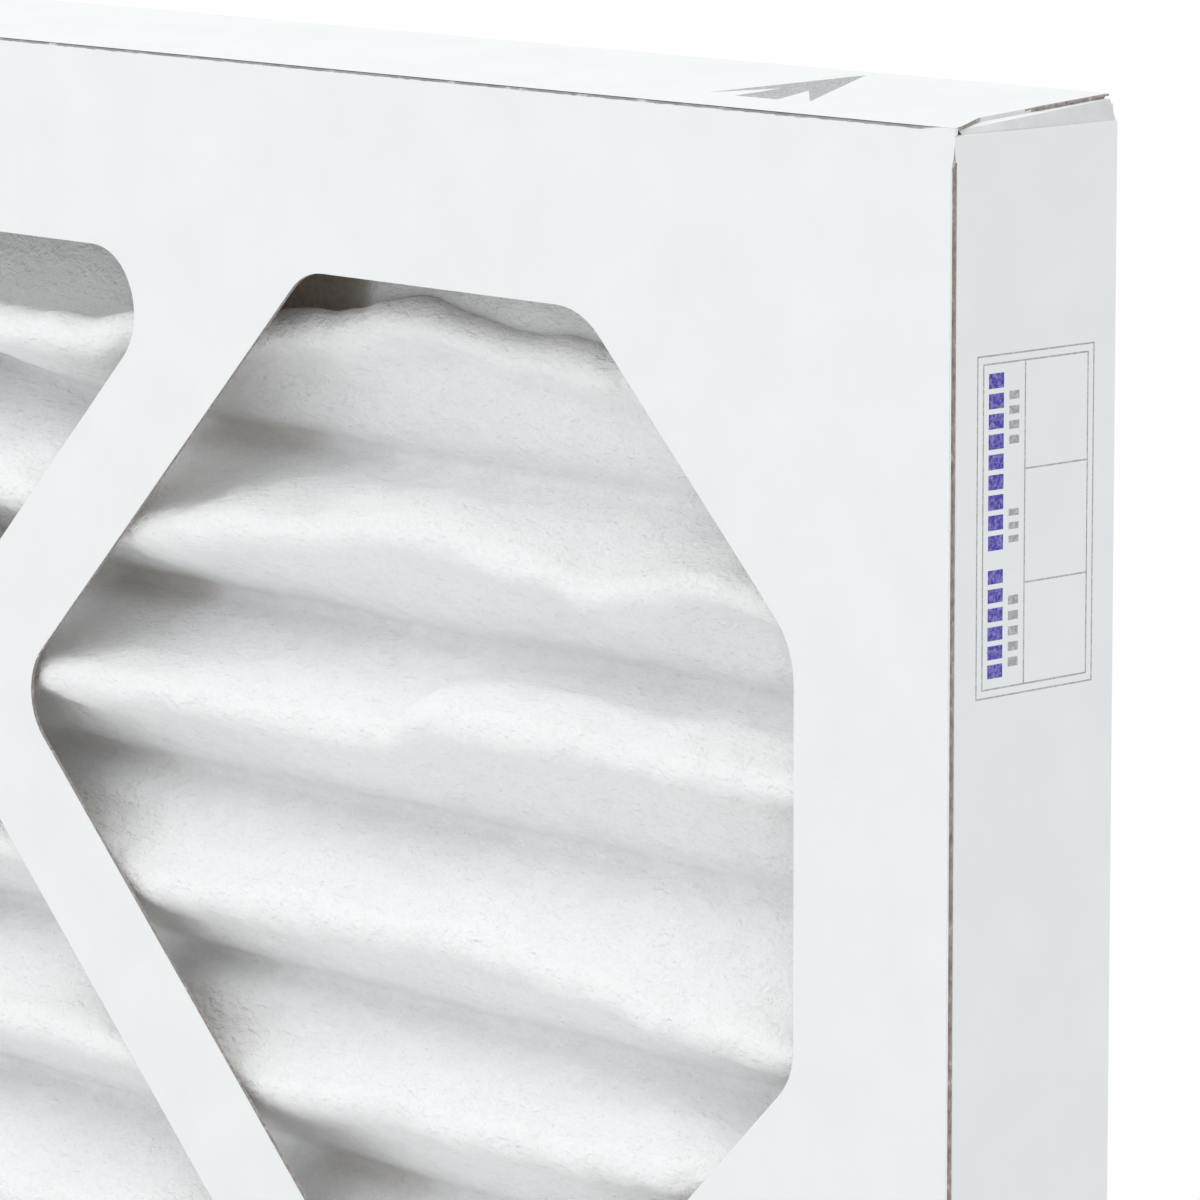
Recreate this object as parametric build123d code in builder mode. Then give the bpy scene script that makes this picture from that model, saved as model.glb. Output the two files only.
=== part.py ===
"""Pleated panel air filter, 25 x 25 x 2 in nominal, standing on its lower edge.

Two die-cut trays of coated paperboard nest into each other and hold a pleated, non-woven
filter sheet.  A welded wire grid backs the sheet on its air-leaving side, and hot-melt adhesive
bonds all four edges of the pleated pack to the rear tray.

Frame: origin at the middle of the underside, +X to the right, +Y with the airflow
(the air enters at the -Y face), +Z up.  All sizes in millimetres.
"""

from build123d import *
import math
import os

# ---- Panel ------------------------------------------------------------------------------------
panel_width = 622.3  # 24 1/2 in actual
panel_height = 622.3  # 24 1/2 in actual, at the front face
panel_depth = 44.45  # 1 3/4 in actual
flange_rise = 3.6  # the top flange springs up this far by its rear edge

# ---- Paperboard -------------------------------------------------------------------------------
board = 0.8  # thickness of the die-cut board
nest_clearance = 0.3  # between the flanges of the two trays
rear_flange_depth = 38.0  # how far the rear tray reaches forward inside the front one

# ---- Fold lines: the coated side is cut along each fold, short of the corners ------------------
score_cut = 0.6  # depth of the cut in the board
score_stop = 6.5  # uncut length of fold left at each corner

# ---- Corner tabs: each end of a side flange folds in under the top or bottom flange -----------
crease_drop = 1.4  # the tab's crease lies this far inside the panel height
tab_lean = 1.2  # the folded strip leans in by this much
tab_length = 22.0  # how far the tab reaches in from the side
tab_end_gap = 1.5  # the tab stops this far short of the fold and of the rim
flange_setback_fold = 6.0  # top and bottom flanges stop short of the sides, at their fold
flange_setback_rim = 2.0  # and at their free edge

# ---- Windows of the face lattice --------------------------------------------------------------
border = 43.0  # solid border round the windows
strap_width = 26.5  # diagonal straps
strap_crossing = 166.0  # from the panel's middle to each of the four crossings
gusset_leg = 61.0  # corner gussets, along the border
window_radius = 14.0
gusset_radius = 18.0

# ---- Filter sheet -----------------------------------------------------------------------------
pleat_count = 15
media_thickness = 3.0
fold_radius = 3.5  # of the sheet's middle line at each fold
end_panel = 24.0  # the sheet's ends lie along the flanges for this length
top_fold_drop = 10.5  # from the topmost pleat tip up to the sheet's upper end
front_air_gap = 1.5  # between the front board and the pleat tips
rear_air_gap = 1.5  # between the rear board and the wire grid

# ---- Wire grid --------------------------------------------------------------------------------
wire = 0.8
wire_stand_off = 0.05  # from the sheet
fold_wire_count = 7  # wires that follow the pleats
fold_wire_inset = 26.0  # the outermost ones lie this far from the sheet's edges
cross_wire_overhang = 12.0  # the straight wires run on past them by this much

# ---- Hot-melt adhesive ------------------------------------------------------------------------
side_bed_thickness = 1.2  # bed on the side flange that the pleats' ends stand in
side_bed_inset = 1.0  # from the flange's free edge and from the face to the bed
end_bead_thickness = 1.4  # between the sheet's end panel and the flange; clears the corner tabs
end_bead_width = 9.0
end_bead_setback = 2.0  # from the end panel's free edge to the bead
end_bead_inset = 12.0  # from a corner tab to the bead

# ---- Worked-out places ------------------------------------------------------------------------
front = -panel_depth / 2
rear = panel_depth / 2
rise_slope = flange_rise / panel_depth

rear_tray_step = 2 * board + nest_clearance  # a front flange, its corner tab and the clearance
rear_tray_width = panel_width - 2 * (board + nest_clearance)
rear_tray_rim = rear - rear_flange_depth

sheet_step = rear_tray_step + board + end_bead_thickness + media_thickness / 2
sheet_half_length = rear_tray_width / 2 - board - side_bed_thickness
sheet_front = front + board + front_air_gap + media_thickness / 2
sheet_rear = rear - board - rear_air_gap - wire - wire_stand_off - media_thickness / 2


def top_height(y):
    """Height of the top flange's upper face at depth y."""
    return panel_height + rise_slope * (y - front)


def window_faces():
    """The face's windows, drawn about the panel's middle."""
    half_width = panel_width / 2 - border
    half_height = panel_height / 2 - border
    with BuildSketch() as openings:
        Rectangle(2 * half_width, 2 * half_height)
        for side_x in (-1, 1):
            for side_z in (-1, 1):
                with Locations((side_x * strap_crossing / 2, side_z * strap_crossing / 2)):
                    Rectangle(
                        panel_width + panel_height,
                        strap_width,
                        rotation=-45 * side_x * side_z,
                        mode=Mode.SUBTRACT,
                    )
                corner_x = side_x * half_width
                corner_z = side_z * half_height
                with BuildLine():
                    Polyline(
                        (corner_x, corner_z),
                        (corner_x - side_x * gusset_leg, corner_z),
                        (corner_x, corner_z - side_z * gusset_leg),
                        close=True,
                    )
                make_face(mode=Mode.SUBTRACT)
        gusset_reach = half_width + half_height - gusset_leg
        corners = openings.vertices()
        at_gusset = corners.filter_by(lambda v: abs(abs(v.X) + abs(v.Y) - gusset_reach) < 0.01)
        fillet(at_gusset, gusset_radius)
        at_straps = openings.vertices().filter_by(lambda v: any(v.distance_to(c) < 0.01 for c in corners))
        fillet(at_straps, window_radius)
    return openings.sketch


def rectangle_at(y, half_width, low, high):
    """A rectangle in the plane across the airflow at depth y."""
    with BuildSketch(Plane.XZ.offset(-y)) as section:
        with Locations((0, (low + high) / 2)):
            Rectangle(2 * half_width, high - low)
    return section.sketch


def tab_section(y, side, half_width, crease, against, inward):
    """A corner tab's section at depth y: a strip leaning in from the crease, then a flat tab."""
    outline = [
        (half_width, crease),
        (half_width - tab_lean, against),
        (half_width - tab_length, against),
        (half_width - tab_length, against + inward * board),
        (half_width - tab_lean - board, against + inward * board),
        (half_width - board, crease),
    ]
    with BuildSketch(Plane.XZ.offset(-y)) as section:
        with BuildLine():
            Polyline(*[(side * x, z) for x, z in outline], close=True)
        make_face()
    return section.sketch


def folded_tray(width, face_y, rim_y, low, high_at, windows):
    """One die-cut tray: a face with windows, four flanges and four corner tabs.

    face_y is the outer plane of its face and rim_y the free edge of its flanges.  low is the
    underside of its bottom flange, and high_at(y) the upper side of its top flange.
    """
    inward = 1 if rim_y > face_y else -1
    half = width / 2
    back_plane = Plane.XZ.offset(-max(face_y, face_y + inward * board))
    high = high_at(face_y)
    crease_low = low + crease_drop
    crease_high = min(high, high_at(rim_y)) - crease_drop
    with BuildPart() as tray:
        # Face, with its windows
        with BuildSketch(back_plane):
            with Locations((0, (low + high) / 2)):
                Rectangle(width, high - low)
            with Locations((0, panel_height / 2)):
                add(windows, mode=Mode.SUBTRACT)
        extrude(amount=board)
        # Bottom and top flanges
        for level in (lambda y: low, lambda y: high_at(y) - board):
            loft(
                [
                    rectangle_at(face_y, half - flange_setback_fold, level(face_y), level(face_y) + board),
                    rectangle_at(rim_y, half - flange_setback_rim, level(rim_y), level(rim_y) + board),
                ],
                ruled=True,
            )
        # Side flanges
        with BuildSketch(Plane.XY.offset(crease_low)):
            with Locations(
                (half - board / 2, (face_y + rim_y) / 2), (board / 2 - half, (face_y + rim_y) / 2)
            ):
                Rectangle(board, abs(rim_y - face_y))
        extrude(amount=crease_high - crease_low)
        # Corner tabs
        for side in (-1, 1):
            for crease, against_at, turn in (
                (crease_low, lambda y: low + board, 1),
                (crease_high, lambda y: high_at(y) - board, -1),
            ):
                tab_ends = (face_y + inward * (board + tab_end_gap), rim_y - inward * tab_end_gap)
                loft(
                    [tab_section(y, side, half, crease, against_at(y), turn) for y in tab_ends],
                    ruled=True,
                )
        # Cut score along each fold of the face, short of the corners
        with BuildSketch(Plane.XZ.offset(-face_y)):
            with Locations((0, (low + high) / 2)):
                Rectangle(width, high - low - 2 * score_stop)
                Rectangle(width - 2 * score_cut, high - low - 2 * score_stop, mode=Mode.SUBTRACT)
            for z in (low + score_cut / 2, high - score_cut / 2):
                with Locations((0, z)):
                    Rectangle(width - 2 * score_stop, score_cut)
        extrude(amount=-inward * score_cut, mode=Mode.SUBTRACT)
    return tray


# ---- Trays ------------------------------------------------------------------------------------
windows = window_faces()
front_frame = folded_tray(panel_width, front, rear, 0, top_height, windows)
front_frame.part.label = "front_frame"

rear_frame = folded_tray(
    rear_tray_width,
    rear,
    rear_tray_rim,
    rear_tray_step,
    lambda y: top_height(y) - rear_tray_step,
    windows,
)
rear_frame.part.label = "rear_frame"


# ---- Filter sheet -----------------------------------------------------------------------------
def bottom_line(y):
    """Height of the sheet's middle line along the bottom flange."""
    return sheet_step


def top_line(y):
    """Height of the sheet's middle line along the top flange."""
    return top_height(y) - sheet_step


end_panel_y = sheet_rear - end_panel
pleat_pitch = (top_line(end_panel_y) - bottom_line(end_panel_y) - top_fold_drop) / (pleat_count - 0.5)
wall_angle = math.atan2(pleat_pitch / 2, sheet_rear - sheet_front)
# A fold's arc stops short of the zigzag's corner, so the corner stands out by this much.
fold_reach = fold_radius * (1 / math.sin(wall_angle) - 1)


def zigzag_points():
    """Corner points (y, z) of the sheet's middle line, from its lower end to its upper one."""
    points = [(end_panel_y, bottom_line(end_panel_y))]
    for pleat in range(pleat_count):
        base = bottom_line(sheet_rear) + pleat * pleat_pitch
        points.append((sheet_rear + fold_reach, base))
        points.append((sheet_front - fold_reach, base + pleat_pitch / 2))
    points.append((end_panel_y, top_line(end_panel_y)))
    points.append((sheet_rear, top_line(sheet_rear)))
    return points


def pleated_band(points, thickness):
    """Section of a band of even thickness about a folded line, drawn with depth across."""
    with BuildSketch() as band:
        with BuildLine():
            FilletPolyline(*points, radius=fold_radius)
            offset(amount=thickness / 2, side=Side.BOTH)
        make_face()
    return band.sketch


sheet_points = zigzag_points()
with BuildPart() as filter_media:
    with BuildSketch(Plane.YZ):
        add(pleated_band(sheet_points, media_thickness))
    extrude(amount=sheet_half_length, both=True)
filter_media.part.label = "filter_media"


# ---- Wire grid --------------------------------------------------------------------------------
wall_slope = math.atan2(pleat_pitch / 2, sheet_rear - sheet_front + 2 * fold_reach)
fold_centre_inset = fold_radius / math.sin(wall_slope) - fold_reach
wire_offset = media_thickness / 2 + wire_stand_off + wire / 2


def fold_wire_points():
    """Corner points (y, z) of a wire's middle line, which is bent flat round each fold."""
    rear_radius = fold_radius + wire_offset
    front_radius = fold_radius - wire_offset
    rear_flat = rear_radius * math.tan((math.pi / 2 - wall_slope) / 2)
    front_flat = front_radius * math.cos(wall_slope)
    rear_y = sheet_rear - fold_centre_inset + rear_radius
    front_y = sheet_front + fold_centre_inset - front_radius * math.sin(wall_slope)
    base = bottom_line(sheet_rear)
    points = []
    for pleat in range(pleat_count):
        front_z = base + (pleat + 0.5) * pleat_pitch
        points += [(front_y, front_z - front_flat), (front_y, front_z + front_flat)]
        if pleat < pleat_count - 1:
            rear_z = base + (pleat + 1) * pleat_pitch
            points += [(rear_y, rear_z - rear_flat), (rear_y, rear_z + rear_flat)]
    return points


def middle_of(start, end):
    """Point halfway between two points."""
    return ((start[0] + end[0]) / 2, (start[1] + end[1]) / 2)


wire_points = fold_wire_points()
walls = list(zip(wire_points[1:-1:2], wire_points[2::2]))  # straight runs between two folds
fold_wire_reach = sheet_half_length - fold_wire_inset
cross_wire_reach = fold_wire_reach + cross_wire_overhang

with BuildSketch() as wire_band:
    with BuildLine():
        Polyline(*wire_points)
        offset(amount=wire / 2, side=Side.BOTH, kind=Kind.INTERSECTION)
    make_face()

with BuildPart() as fold_wire:
    with BuildSketch(Plane.YZ):
        add(wire_band.sketch)
    extrude(amount=wire / 2, both=True)

with BuildPart() as wire_grid:
    wire_pitch = 2 * fold_wire_reach / (fold_wire_count - 1)
    with GridLocations(wire_pitch, 1, fold_wire_count, 1):
        add(fold_wire.part)
    # Straight wires are welded across them, one in each pleat.
    with BuildSketch(Plane.YZ):
        for start, end in walls[::2]:
            angle = math.atan2(end[1] - start[1], end[0] - start[0])
            y, z = middle_of(start, end)
            with Locations((y + wire * math.sin(angle), z - wire * math.cos(angle))):
                Rectangle(wire, wire, rotation=math.degrees(angle))
    extrude(amount=cross_wire_reach, both=True)
wire_grid.part.label = "wire_grid"


# ---- Hot-melt adhesive ------------------------------------------------------------------------
def side_bed(side):
    """The bed of adhesive on one side flange of the rear tray."""
    low = rear_tray_step + 2 * board
    high = top_height(rear_tray_rim) - rear_tray_step - 2 * board
    near = rear_tray_rim + side_bed_inset
    far = rear - board - side_bed_inset
    with BuildPart() as bed:
        with BuildSketch(Plane.YZ.offset(side * sheet_half_length)):
            with Locations(((near + far) / 2, (low + high) / 2)):
                Rectangle(far - near, high - low)
        extrude(amount=side * side_bed_thickness)
    return bed


def end_bead(line, outward):
    """The bead between one end panel of the sheet and the rear tray's flange."""
    reach = rear_tray_width / 2 - tab_length - end_bead_inset
    start = end_panel_y + end_bead_setback
    end = start + end_bead_width
    upright_thickness = media_thickness * math.hypot(1, (line(end) - line(start)) / end_bead_width)
    sections = []
    for y in (start, end):
        sheet_face = line(y) + outward * upright_thickness / 2
        flange_face = line(y) + outward * (media_thickness / 2 + end_bead_thickness)
        sections.append(
            rectangle_at(y, reach, min(sheet_face, flange_face), max(sheet_face, flange_face))
        )
    with BuildPart() as bead:
        loft(sections, ruled=True)
    return bead


side_bed_left = side_bed(-1)
side_bed_left.part.label = "side_bed_left"
side_bed_right = side_bed(1)
side_bed_right.part.label = "side_bed_right"
end_bead_bottom = end_bead(bottom_line, -1)
end_bead_bottom.part.label = "end_bead_bottom"
end_bead_top = end_bead(top_line, 1)
end_bead_top.part.label = "end_bead_top"

# ---- Files ------------------------------------------------------------------------------------
os.makedirs("parts", exist_ok=True)
for piece in (
    front_frame,
    rear_frame,
    filter_media,
    wire_grid,
    side_bed_left,
    side_bed_right,
    end_bead_bottom,
    end_bead_top,
):
    export_step(piece.part, f"parts/{piece.part.label}.step")
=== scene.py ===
"""Pleated panel air filter: white board trays, a lofty non-woven sheet and its wire backing."""

import bpy
import bmesh
import math
from collections import namedtuple
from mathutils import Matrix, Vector, noise


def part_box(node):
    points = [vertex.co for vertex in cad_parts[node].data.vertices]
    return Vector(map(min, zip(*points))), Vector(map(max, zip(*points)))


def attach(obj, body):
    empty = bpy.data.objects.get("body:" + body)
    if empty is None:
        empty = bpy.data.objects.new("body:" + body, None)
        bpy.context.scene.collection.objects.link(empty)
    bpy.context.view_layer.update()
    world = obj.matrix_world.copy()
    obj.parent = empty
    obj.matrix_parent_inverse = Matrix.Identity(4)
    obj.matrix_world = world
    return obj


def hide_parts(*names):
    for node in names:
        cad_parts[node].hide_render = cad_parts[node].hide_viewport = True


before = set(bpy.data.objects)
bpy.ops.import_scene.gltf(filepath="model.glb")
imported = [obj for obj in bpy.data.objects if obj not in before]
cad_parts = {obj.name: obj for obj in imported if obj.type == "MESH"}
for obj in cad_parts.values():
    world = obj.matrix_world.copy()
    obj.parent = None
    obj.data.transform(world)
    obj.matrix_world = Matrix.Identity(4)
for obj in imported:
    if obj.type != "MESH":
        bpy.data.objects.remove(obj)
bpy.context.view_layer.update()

MM = 0.001

# ---- Sizes shared with the solids, in millimetres ------------------------------------------------
BOARD = 0.8
FLANGE_RISE = 3.6
CREASE_DROP = 1.4
TAB_LEAN = 1.2
SCORE_CUT = 0.6
SCORE_STOP = 6.5
REAR_STEP = 1.9  # how far the rear tray lies inside the front one, above and below
BORDER = 43.0
STRAP_WIDTH = 26.5
STRAP_CROSSING = 166.0
GUSSET_LEG = 61.0
PLEATS = 15
MEDIA_THICKNESS = 3.0
FOLD_RADIUS = 3.5
END_PANEL = 24.0
TOP_FOLD_DROP = 10.5
SHEET_STEP = 5.6  # from the panel's underside to the sheet's middle line
WIRE = 0.8

tray_low, tray_high = (Vector(corner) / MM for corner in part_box("front_frame"))
media_low, media_high = (Vector(corner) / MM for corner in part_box("filter_media"))
HALF_WIDTH = tray_high.x
FRONT = tray_low.y
REAR = tray_high.y
HEIGHT = tray_high.z - FLANGE_RISE  # at the front face


def top_height(y):
    """Height of the top flange's upper face at depth y."""
    return HEIGHT + FLANGE_RISE * (y - FRONT) / (REAR - FRONT)


def smooth_step(t):
    """Eases from 0 to 1 as t goes from 0 to 1."""
    t = min(max(t, 0.0), 1.0)
    return t * t * (3 - 2 * t)


def along(points, x):
    """Value at x on a smooth line through (x, value) points."""
    if x <= points[0][0]:
        return points[0][1]
    for (x0, value0), (x1, value1) in zip(points, points[1:]):
        if x <= x1:
            return value0 + (value1 - value0) * smooth_step((x - x0) / (x1 - x0))
    return points[-1][1]


# ---- Materials -----------------------------------------------------------------------------------
def srgb(hex_colour):
    """A linear RGBA colour from an sRGB hex value."""
    channels = [int(hex_colour[i:i + 2], 16) / 255 for i in (1, 3, 5)]
    linear = [c / 12.92 if c <= 0.04045 else ((c + 0.055) / 1.055) ** 2.4 for c in channels]
    return (*linear, 1.0)


def add_node(tree, kind, inputs=None, stops=(), **settings):
    """Adds a node with its settings and its (position, hex colour) stops, and fills or links its inputs."""
    node = tree.nodes.new(kind)
    for name, value in settings.items():
        setattr(node, name, value)
    for name, value in (inputs or {}).items():
        if isinstance(value, bpy.types.NodeSocket):
            tree.links.new(value, node.inputs[name])
        else:
            node.inputs[name].default_value = value
    while stops and len(node.color_ramp.elements) < len(stops):
        node.color_ramp.elements.new(0.5)
    for i, (position, colour) in enumerate(stops):
        node.color_ramp.elements[i].position = position
        node.color_ramp.elements[i].color = srgb(colour)
    return node


def start_material(name):
    """An empty node material, with its tree and the places on the object, in metres."""
    material = bpy.data.materials.new(name)
    material.use_nodes = True
    tree = material.node_tree
    tree.nodes.clear()
    place = add_node(tree, "ShaderNodeTexCoord").outputs["Object"]
    return material, tree, place


def finish_surface(tree, colour, roughness, relief=(), **uniform):
    """Closes the material with one Principled shader.

    relief lists patterns and their depths in millimetres, each laid over the one before.
    """
    shader = add_node(tree, "ShaderNodeBsdfPrincipled", {"Base Color": colour, "Roughness": roughness})
    for name, value in uniform.items():
        shader.inputs[name.replace("_", " ")].default_value = value
    normal = None
    for pattern, depth_mm in relief:
        inputs = {"Height": pattern, "Distance": depth_mm * MM, "Strength": 1.0}
        if normal is not None:
            inputs["Normal"] = normal
        normal = add_node(tree, "ShaderNodeBump", inputs).outputs["Normal"]
    if normal is not None:
        tree.links.new(normal, shader.inputs["Normal"])
    output = add_node(tree, "ShaderNodeOutputMaterial")
    tree.links.new(shader.outputs["BSDF"], output.inputs["Surface"])


def blotches(tree, place, size_mm, detail=2.0, stretch=(1, 1, 1)):
    """Noise whose features are about size_mm across, longer where stretch is above 1."""
    scale = [1 / (MM * size_mm * s) for s in stretch]
    moved = add_node(tree, "ShaderNodeMapping", {"Vector": place, "Scale": scale})
    return add_node(
        tree, "ShaderNodeTexNoise",
        {"Vector": moved.outputs["Vector"], "Scale": 1.0, "Detail": detail, "Roughness": 0.6},
    ).outputs["Fac"]


def clay_coated_board():
    """Clay-coated bleached board: a matt, faintly cool white with a slight orange-peel tooth."""
    material, tree, place = start_material("clay_coated_board")
    clouds = blotches(tree, place, 18.0)
    colour = add_node(
        tree, "ShaderNodeValToRGB", {"Fac": clouds}, [(0.3, "#F0F3F4"), (0.7, "#F3F6F6")]
    ).outputs["Color"]
    # The real tooth is about 0.3 mm across; it is drawn three times as coarse, to show.
    tooth = blotches(tree, place, 0.9, detail=3.0)
    roughness = add_node(
        tree, "ShaderNodeMapRange",
        {"Value": tooth, "From Min": 0.3, "From Max": 0.7, "To Min": 0.5, "To Max": 0.62},
    ).outputs["Result"]
    finish_surface(tree, colour, roughness, [(tooth, 0.012)])
    return material


def kraft_core():
    """Recycled kraft in the board's cut edges: grey-brown, fibrous, with pale torn specks."""
    material, tree, place = start_material("kraft_core")
    # Single fibres, 0.03 mm wide, are too fine to show, so they are drawn as clumps of them.
    fibres = blotches(tree, place, 0.8, detail=4.0, stretch=(1, 1, 2.5))
    colour = add_node(
        tree, "ShaderNodeValToRGB", {"Fac": fibres},
        [(0.30, "#857A77"), (0.45, "#A0968F"), (0.60, "#B0A6A1"), (0.70, "#DAD0CA")],
    ).outputs["Color"]
    finish_surface(tree, colour, 0.92, [(fibres, 0.08)])
    return material


def kraft_liner():
    """The board's uncoated inner side: plain grey-brown kraft with long fibres along the sheet."""
    material, tree, place = start_material("kraft_liner")
    # Drawn as clumps of fibres, as in the cut edges
    fibres = blotches(tree, place, 0.7, detail=4.0, stretch=(6, 1, 1))
    colour = add_node(
        tree, "ShaderNodeValToRGB", {"Fac": fibres}, [(0.3, "#8E8176"), (0.7, "#A39689")]
    ).outputs["Color"]
    finish_surface(tree, colour, 0.9, [(fibres, 0.02)])
    return material


def needled_polyester():
    """Needled cotton and polyester non-woven: chalk white, lofty, with a soft nap on the pleat tips,
    which carry a painted highlight, whiter than the walls.

    Where the rear board backs a deep fold, no light comes through, and painted shade tinted the brown
    of its kraft darkens the sheet there.
    """
    material, tree, place = start_material("needled_polyester")
    tufts = blotches(tree, place, 5.0, detail=5.0, stretch=(1.5, 1, 1))
    # Single fibres are too fine to show, so the nap is drawn as wisps of them.
    nap = blotches(tree, place, 1.3, detail=4.0, stretch=(1.4, 1, 1))
    white = add_node(
        tree, "ShaderNodeValToRGB", {"Fac": tufts}, [(0.3, "#F1F3F4"), (0.7, "#F9FAFA")]
    ).outputs["Color"]
    # Painted highlight: the pleat tips are painted whiter than the walls
    tip_highlight_fac = add_node(tree, "ShaderNodeAttribute", attribute_name="painted_tip_highlight")
    fibres = add_node(
        tree, "ShaderNodeMixRGB", {"Fac": tip_highlight_fac.outputs["Fac"], "Color1": white, "Color2": srgb("#FDFEFE")}
    ).outputs["Color"]
    # Painted shade: the kraft brown that darkens the sheet where the rear board blocks the light behind it
    kraft = add_node(
        tree, "ShaderNodeValToRGB", {"Fac": nap}, [(0.3, "#AD9A87"), (0.7, "#BBA996")]
    ).outputs["Color"]
    board_shade_fac = add_node(tree, "ShaderNodeAttribute", attribute_name="painted_board_shade")
    colour = add_node(
        tree, "ShaderNodeMixRGB", {"Fac": board_shade_fac.outputs["Fac"], "Color1": fibres, "Color2": kraft}
    ).outputs["Color"]
    relief = [(tufts, 1.6), (nap, 0.7)]
    finish_surface(tree, colour, 1.0, relief, Sheen_Weight=0.3, Specular_IOR_Level=0.1)
    return material


def galvanised_wire():
    """Hot-dip galvanised steel wire: a dull blue-grey metal with a faint spangle."""
    material, tree, place = start_material("galvanised_wire")
    spangle = blotches(tree, place, 2.0, detail=1.0)
    colour = add_node(
        tree, "ShaderNodeValToRGB", {"Fac": spangle}, [(0.35, "#A9ADB0"), (0.65, "#C2C5C7")]
    ).outputs["Color"]
    roughness = add_node(
        tree, "ShaderNodeMapRange",
        {"Value": spangle, "From Min": 0.3, "From Max": 0.7, "To Min": 0.38, "To Max": 0.55},
    ).outputs["Result"]
    finish_surface(tree, colour, roughness, Metallic=1.0)
    return material


def hot_melt():
    """Hot-melt adhesive set in place: cloudy off-white, smooth and slightly waxy."""
    material, tree, place = start_material("hot_melt")
    swirls = blotches(tree, place, 6.0)
    colour = add_node(
        tree, "ShaderNodeValToRGB", {"Fac": swirls}, [(0.35, "#E2DAC4"), (0.65, "#EBE5D3")]
    ).outputs["Color"]
    roughness = add_node(
        tree, "ShaderNodeMapRange",
        {"Value": swirls, "From Min": 0.3, "From Max": 0.7, "To Min": 0.3, "To Max": 0.45},
    ).outputs["Result"]
    finish_surface(tree, colour, roughness, [(swirls, 0.3)], Subsurface_Weight=0.2, Subsurface_Scale=0.002)
    return material


def printing_ink(name, full_colour, thin_colour):
    """Flexographic ink on coated board: flat colour, starved here and there where the plate missed."""
    material, tree, place = start_material(name)
    starved = blotches(tree, place, 0.7)
    colour = add_node(
        tree, "ShaderNodeValToRGB", {"Fac": starved}, [(0.42, full_colour), (0.68, thin_colour)]
    ).outputs["Color"]
    finish_surface(tree, colour, 0.55)
    return material


def painted_shade_coating():
    """Coated board along a fold or a crushed edge, its white painted faintly grey as shade."""
    material, tree, place = start_material("painted_shade_coating")
    shade_blotches = blotches(tree, place, 6.0, detail=3.0)
    colour = add_node(
        tree, "ShaderNodeValToRGB", {"Fac": shade_blotches}, [(0.35, "#DCDEDE"), (0.65, "#E5E7E7")]
    ).outputs["Color"]
    finish_surface(tree, colour, 0.7)
    return material


def crushed_groove_shade():
    """Coated board crushed where a shallow score has closed as it folded, with the shadow in the closed
    crease painted on as soft grey.
    """
    material, tree, place = start_material("crushed_groove_shade")
    breaks_and_shade = blotches(tree, place, 3.0, detail=4.0, stretch=(1.5, 1, 1))
    colour = add_node(
        tree, "ShaderNodeValToRGB", {"Fac": breaks_and_shade},
        [(0.35, "#8C8D8C"), (0.58, "#A3A4A3"), (0.68, "#D5D7D7")],
    ).outputs["Color"]
    finish_surface(tree, colour, 0.8, [(breaks_and_shade, 0.05)])
    return material


COATED = clay_coated_board()
PAINTED_SHADE_COATING = painted_shade_coating()
CRUSHED_GROOVE_SHADE = crushed_groove_shade()
CORE = kraft_core()
LINER = kraft_liner()
MEDIA = needled_polyester()
GALVANISED = galvanised_wire()
ADHESIVE = hot_melt()
INK_BLUE = printing_ink("ink_blue", "#3B33A4", "#8F8BCB")
INK_GREY = printing_ink("ink_grey", "#A2A4A6", "#C9CBCD")


def new_piece(name, mesh, replaced=()):
    """Links a mesh as a piece of the filter, riding on its one body."""
    piece = bpy.data.objects.new(name, mesh)
    bpy.context.scene.collection.objects.link(piece)
    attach(piece, "root")
    if replaced:
        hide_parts(*replaced)
    return piece


def closed_mesh(shape, name, *materials):
    """A mesh of a closed shape, facing outwards; the shape itself is let go."""
    bmesh.ops.recalc_face_normals(shape, faces=shape.faces)
    mesh = bpy.data.meshes.new(name)
    shape.to_mesh(mesh)
    shape.free()
    for material in materials:
        mesh.materials.append(material)
    return mesh


# ---- Board trays ---------------------------------------------------------------------------------
# A tray's material slots, by the side of the board that a face shows; the last holds painted shade
COATED_SIDE, CUT_SIDE, LINER_SIDE, PAINTED_SHADE_SIDE = range(4)

PLANE_REACH = 0.06  # a face counts as lying in a plane of the tray within this
TAB_ZONE = 24.0  # the corner tabs lie within this of the panel's sides
STRIP_STOP = 1.5  # how far short of the rim the tabs' leaning strips stop in the solid
CREASE_HALF_WIDTH, CREASE_DEPTH = 0.16, 0.34  # of the crease beside each corner tab
CUT_AT_FOLD, CUT_AT_RIM = 6.0, 2.0  # how far inside the sides a flange's tapered cut edge lies
CRUSHED = 24.5  # depth to which that edge is crushed closed
ROUND_START, ROUND_MIDDLE = 3.0, 1.2  # how far from the rim its rounded corner starts and turns
MIDDLE_BACK, RIM_BACK = 0.3, 1.3  # how far the corner is rounded back there and at the rim


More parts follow.
